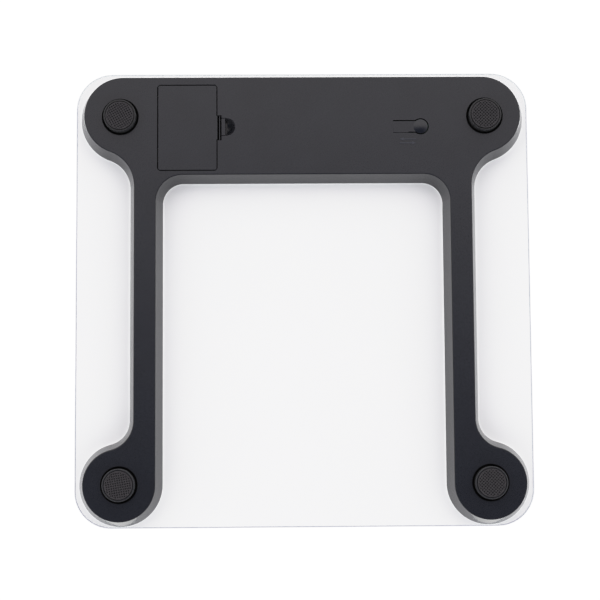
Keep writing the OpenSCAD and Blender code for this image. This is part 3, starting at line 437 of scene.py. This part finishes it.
def make_looks():
    """One material for each of the record's slots."""
    looks = {
        "clear_glass": glass_look(),
        "board_green": board_look(),
        "pad_rubber": pad_look(),
        "white_film": film_look(),
        "charcoal_plastic": charcoal_look(
            "charcoal_plastic", (0.0056, 0.0064, 0.0094), (0.0095, 0.0107, 0.0152),
            (0.25, 0.33), (0.12, 0.16)),
        "foot_plastic": charcoal_look(
            "foot_plastic", (0.004, 0.004, 0.005), (0.007, 0.007, 0.008), (0.34, 0.42), (0.34, 0.42),
            (2 * MM, 5.5 * MM)),
    }
    plain = {
        "foam_tape": ((0.72, 0.72, 0.71), (0.84, 0.84, 0.83), 6, 0.25, (0.8, 0.95), 0.06, {}),
        "white_plastic": ((0.70, 0.70, 0.67), (0.78, 0.78, 0.75), 14, 0.4, (0.4, 0.5), 0.012, {}),
        "gauge_coating": ((0.70, 0.69, 0.63), (0.84, 0.83, 0.77), 3, 0.5, (0.25, 0.45), 0.05, {}),
        "black_epoxy": ((0.008, 0.008, 0.009), (0.016, 0.016, 0.017), 3, 0.6, (0.22, 0.34), 0.03, {}),
        "component_body": ((0.30, 0.20, 0.10), (0.46, 0.33, 0.17), 1.2, 0.2, (0.3, 0.45), 0.02, {}),
        "switch_plastic": ((0.02, 0.02, 0.022), (0.035, 0.035, 0.038), 2, 0.3, (0.4, 0.5), 0.01, {}),
        "lcd_glass": ((0.24, 0.285, 0.24), (0.27, 0.315, 0.265), 22, 0.4, (0.16, 0.22), 0.002,
                      {"Coat Weight": 0.6, "Coat Roughness": 0.04}),
        "light_guide": ((0.76, 0.76, 0.68), (0.84, 0.84, 0.77), 10, 0.3, (0.35, 0.5), 0.01, {}),
        "zebra_rubber": ((0.55, 0.20, 0.24), (0.70, 0.31, 0.36), 2, 0.25, (0.5, 0.65), 0.02, {}),
        "black_foam": ((0.010, 0.010, 0.010), (0.028, 0.028, 0.028), 4, 0.3, (0.85, 0.98), 0.12, {}),
        "wire_sleeve": ((0.30, 0.30, 0.31), (0.42, 0.42, 0.43), 5, 0.4, (0.4, 0.55), 0.01, {}),
    }
    for name, (dark, light, drift, grain, rough, depth, fixed) in plain.items():
        looks[name] = textured(name, dark, light, drift * MM, grain * MM, rough, depth * MM, **fixed)
    metals = {
        "plated_steel": ((0.48, 0.48, 0.50), (0.62, 0.62, 0.64), (1, 0.06, 1), (0.26, 0.4)),
        "screw_steel": ((0.42, 0.42, 0.44), (0.60, 0.60, 0.62), (1, 1, 0.3), (0.2, 0.36)),
        "contact_nickel": ((0.60, 0.58, 0.53), (0.74, 0.72, 0.67), (0.2, 1, 1), (0.16, 0.3)),
    }
    for name, (dark, light, stretch, rough) in metals.items():
        looks[name] = textured(
            name, dark, light, 5 * MM, 0.3 * MM, rough, 0.008 * MM, stretch, Metallic=1.0)
    return looks


def apply_looks(looks):
    """Every CAD node takes the look of its slot, which is the name of the material it came with."""
    for name, node in nodes.items():
        for index, material in enumerate(node.data.materials):
            slot = material.name.split(".")[0]
            if slot == "battery_can":
                look = battery_look(name, -1 if name == "battery_2" else 1)
            elif slot == "lead_insulation":
                low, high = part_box(name)
                look = lead_look(name, (low.x + high.x) / 2, (0.02, 0.02, 0.022), (0.42, 0.015, 0.012))
            else:
                look = looks[slot]
            node.data.materials[index] = look


def mesh_object(name, mesh_data, look, body, smooth=True):
    """A new piece from a bmesh, with its look, on its body."""
    mesh = bpy.data.meshes.new(name)
    bmesh.ops.recalc_face_normals(mesh_data, faces=mesh_data.faces)
    mesh_data.to_mesh(mesh)
    mesh_data.free()
    for polygon in mesh.polygons:
        polygon.use_smooth = smooth
    piece = bpy.data.objects.new(name, mesh)
    mesh.materials.append(look)
    scene.collection.objects.link(piece)
    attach(piece, body)
    return piece


# The knurl of a foot pad, and how far each pad's is turned, in degrees
PAD_TURNS = {"rear_right": -30, "rear_left": 45, "front_right": -10, "front_left": 42}
KNURL_PITCH = 1.5 * MM
KNURL_DEPTH = 0.5 * MM
KNURL_STEPS = 5
PAD_EDGE_ROUND = 0.25 * MM
PAD_EDGE_BAND = 0.45 * MM
PAD_SIDES = 96


def smoothstep(low, high, value):
    """The value's way from low to high, from 0 to 1, eased at both ends."""
    way = min(1.0, max(0.0, (value - low) / (high - low)))
    return way * way * (3 - 2 * way)


def knurl_height(u, v):
    """How deep the pad's net is at a point: ridges run along both directions, with pits between."""
    pit = (1 + math.cos(FULL_TURN * u / KNURL_PITCH)) * (1 + math.cos(FULL_TURN * v / KNURL_PITCH)) / 4
    return KNURL_DEPTH * smoothstep(0.12, 0.6, pit)


def foot_pad(corner, turn, look):
    """A round rubber pad in place of the CAD's plain disc, its knurl turned about its centre by turn."""
    node = "foot_pad_" + corner
    low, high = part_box(node)
    centre = (low + high) / 2
    radius = (high.x - low.x) / 2
    net_r = radius - PAD_EDGE_ROUND - PAD_EDGE_BAND
    rings = [(radius, PAD_EDGE_ROUND), (radius - PAD_EDGE_ROUND, 0.0), (net_r, 0.0)]
    points, heights = [], []
    for ring_r, height in rings:
        for step in range(PAD_SIDES):
            angle = FULL_TURN * step / PAD_SIDES
            points.append(Vector((ring_r * math.cos(angle), ring_r * math.sin(angle))))
            heights.append(height)
    spacing = KNURL_PITCH / KNURL_STEPS
    reach = int(radius / spacing) + 1
    for i in range(-reach, reach + 1):
        for j in range(-reach, reach + 1):
            u, v = i * spacing, j * spacing
            if math.hypot(u, v) < net_r - 0.4 * spacing:
                points.append(Vector((u * math.cos(turn) - v * math.sin(turn),
                                      u * math.sin(turn) + v * math.cos(turn))))
                heights.append(knurl_height(u, v))
    flat, _, faces, _, _, _ = delaunay_2d_cdt(points, [], [], 0, 1e-7)
    data = bmesh.new()
    lower = [data.verts.new((centre.x + p.x, centre.y + p.y, low.z + heights[k]))
             for k, p in enumerate(points)]
    for face in faces:
        data.faces.new([lower[k] for k in face])
    rim = lower[:PAD_SIDES]
    upper = [data.verts.new((vert.co.x, vert.co.y, high.z)) for vert in rim]
    for k in range(PAD_SIDES):
        following = (k + 1) % PAD_SIDES
        data.faces.new((rim[k], rim[following], upper[following], upper[k]))
    data.faces.new(upper)
    pad = mesh_object("knurled_pad_" + corner, data, look, "foot_" + corner)
    pad.data.set_sharp_from_angle(angle=math.radians(60))
    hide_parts(node)


# The display's seven-segment digits, seen only as faint shapes while it is off
DIGIT_H = 19 * MM
DIGIT_W = 10 * MM
DIGIT_STEP = 15 * MM
STROKE = 2.1 * MM
SEGMENT_GAP = 0.25 * MM
SEGMENT_T = 0.02 * MM
SLANT = math.tan(math.radians(6))


def segment(data, start, end, base_z, slant_from):
    """A hexagonal bar from start to end, both (x, y), slanted about slant_from, on a plane at base_z."""
    start, end = Vector(start), Vector(end)
    along = (end - start).normalized()
    across = Vector((-along.y, along.x)) * STROKE / 2
    start, end = start + along * SEGMENT_GAP, end - along * SEGMENT_GAP
    shoulder = along * STROKE / 2
    outline = [start, start + shoulder - across, end - shoulder - across,
               end, end - shoulder + across, start + shoulder + across]
    slanted = [(p.x + (p.y - slant_from.y) * SLANT, p.y) for p in outline]
    layers = [[data.verts.new((x, y, z)) for x, y in slanted] for z in (base_z, base_z + SEGMENT_T)]
    data.faces.new(layers[0])
    data.faces.new(layers[1])
    for k in range(len(outline)):
        following = (k + 1) % len(outline)
        data.faces.new((layers[0][k], layers[0][following], layers[1][following], layers[1][k]))


def display_digits(look):
    """Four digits with every segment shown, and a decimal point before the last."""
    low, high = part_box("lcd_panel")
    middle = (low + high) / 2
    data = bmesh.new()
    half_w, half_h = DIGIT_W / 2, DIGIT_H / 2
    corners = {(i, j): Vector((i * half_w, j * half_h)) for i in (-1, 1) for j in (-1, 0, 1)}
    bars = [((-1, 1), (1, 1)), ((-1, 0), (1, 0)), ((-1, -1), (1, -1)), ((-1, 0), (-1, 1)),
            ((1, 0), (1, 1)), ((-1, -1), (-1, 0)), ((1, -1), (1, 0))]
    for k in range(4):
        centre = Vector((middle.x + (k - 1.5) * DIGIT_STEP, middle.y))
        for first, second in bars:
            segment(data, centre + corners[first], centre + corners[second], high.z, middle)
    point = Vector((middle.x + DIGIT_STEP, middle.y - half_h))
    segment(data, point - Vector((STROKE * 0.75, 0)), point + Vector((STROKE * 0.75, 0)), high.z, middle)
    mesh_object("display_segments", data, look, "platform", smooth=False)


# The camera's lens, in mm on a 36 mm sensor, its place, and its turns in degrees from looking straight up
LENS = 90.58
CAMERA_PLACE = (0.0164, -0.0911, -0.9696)
CAMERA_TURNS = {"X": 5.166, "Y": -0.8115, "Z": -0.3112}


def make_camera():
    """The camera is below the scale, close to its middle, and looks up."""
    data = bpy.data.cameras.new("camera")
    data.sensor_width = 36
    data.lens = LENS
    data.clip_start, data.clip_end = 0.02, 50
    camera = bpy.data.objects.new("camera", data)
    placed = Matrix.Translation(CAMERA_PLACE) @ Matrix.Rotation(math.pi, 4, "Y")
    for axis, degrees in CAMERA_TURNS.items():
        placed = placed @ Matrix.Rotation(math.radians(degrees), 4, axis)
    camera.matrix_world = placed
    scene.collection.objects.link(camera)
    scene.camera = camera


def make_world():
    """Bright studio walls all round.

    From below, the light is bright behind the display end, and dim and cool towards the front.
    """
    world = bpy.data.worlds.new("studio")
    world.use_nodes = True
    scene.world = world
    graph = Graph(world.node_tree)
    split = graph.add("SeparateXYZ", {0: graph.add("TexCoord").outputs["Generated"]})
    along_y, height = split.outputs[1], split.outputs[2]
    bright = graph.ramp(along_y, -0.04, 0.26, 0.0, 1.0, smooth=True)
    below = graph.mix(bright, (0.08, 0.11, 0.19), (1.75, 1.66, 1.66))
    above = graph.mix(graph.ramp(height, 0.2, 0.45), (1.0, 1.0, 1.0), (0.66, 0.67, 0.69))
    above = graph.mix(graph.ramp(height, 0.7, 0.86), above, (1.3, 1.3, 1.3))
    sides = graph.mix(graph.ramp(height, -0.08, 0.0), (1.44, 1.44, 1.44), above)
    sink = graph.ramp(height, -0.62, -0.88, 0.0, 1.0, smooth=True)
    light = graph.add("Background", {"Color": graph.mix(sink, sides, below), "Strength": 1.0})
    graph.add("OutputWorld", {"Surface": light.outputs[0]})


def area_light(name, place, target, size, power, tint=(1, 1, 1)):
    """A rectangular light of a size (x, y) that faces its target and isn't seen by the camera."""
    data = bpy.data.lights.new(name, "AREA")
    data.shape = "RECTANGLE"
    data.size, data.size_y = size
    data.energy = power
    data.color = tint
    lamp = bpy.data.objects.new(name, data)
    lamp.location = place
    lamp.rotation_mode = "QUATERNION"
    lamp.rotation_quaternion = (Vector(target) - Vector(place)).to_track_quat("-Z", "Y")
    lamp.visible_camera = False
    scene.collection.objects.link(lamp)


def make_lights():
    """Two soft lights above, for the views of the glass from its top side."""
    area_light("key_above", (-0.9, 0.5, 1.3), (0, 0, 0), (1.0, 0.7), 6.0)
    area_light("fill_above", (1.1, -0.9, 0.9), (0, 0, 0), (0.8, 0.8), 2.0, (0.95, 0.97, 1.0))


def make_floor():
    """A pale floor that is seen only from above, so that the view from below passes through it."""
    data = bmesh.new()
    bmesh.ops.create_grid(data, x_segments=2, y_segments=2, size=6)
    mesh = bpy.data.meshes.new("floor")
    data.to_mesh(mesh)
    data.free()
    floor = bpy.data.objects.new("floor", mesh)
    scene.collection.objects.link(floor)
    material, graph = new_material("floor")
    paint = graph.add("BsdfPrincipled", {
        "Base Color": graph.mix(graph.noise(0.4), (0.60, 0.60, 0.605), (0.62, 0.62, 0.625)),
        "Roughness": 0.7,
    })
    behind = graph.add("NewGeometry").outputs["Backfacing"]
    clear = graph.add("BsdfTransparent")
    graph.finish(graph.add("MixShader", {0: behind, 1: paint.outputs[0], 2: clear.outputs[0]}))
    mesh.materials.append(material)
    floor.visible_diffuse = False
    floor.visible_glossy = False
    floor.visible_transmission = False
    floor.visible_shadow = False


# The tone curve's points after its start at (0, 0), and its end
TONES = ((0.02, 0.014), (0.06, 0.056), (0.2, 0.205), (0.5, 0.57), (0.7, 0.79), (0.8, 0.857),
         (0.9, 0.893), (1.0, 0.92))
WHITE = (1.25, 1.0)


def set_tones():
    """A camera's tone curve: deeper blacks, and a soft shoulder into white."""
    view = scene.view_settings
    view.view_transform = "Standard"
    view.use_curve_mapping = True
    view.curve_mapping.clip_max_x = WHITE[0]
    curve = view.curve_mapping.curves[3]
    curve.points[1].location = WHITE
    for light_in, light_out in TONES:
        curve.points.new(light_in, light_out)
    view.curve_mapping.update()


make_camera()
looks = make_looks()
apply_looks(looks)
for pad_corner, degrees in PAD_TURNS.items():
    foot_pad(pad_corner, math.radians(degrees), looks["pad_rubber"])
display_digits(textured("display_segments", (0.20, 0.24, 0.20), (0.215, 0.255, 0.215),
                        10 * MM, 0.5 * MM, (0.2, 0.3), 0.001 * MM))
make_world()
make_lights()
make_floor()
set_tones()
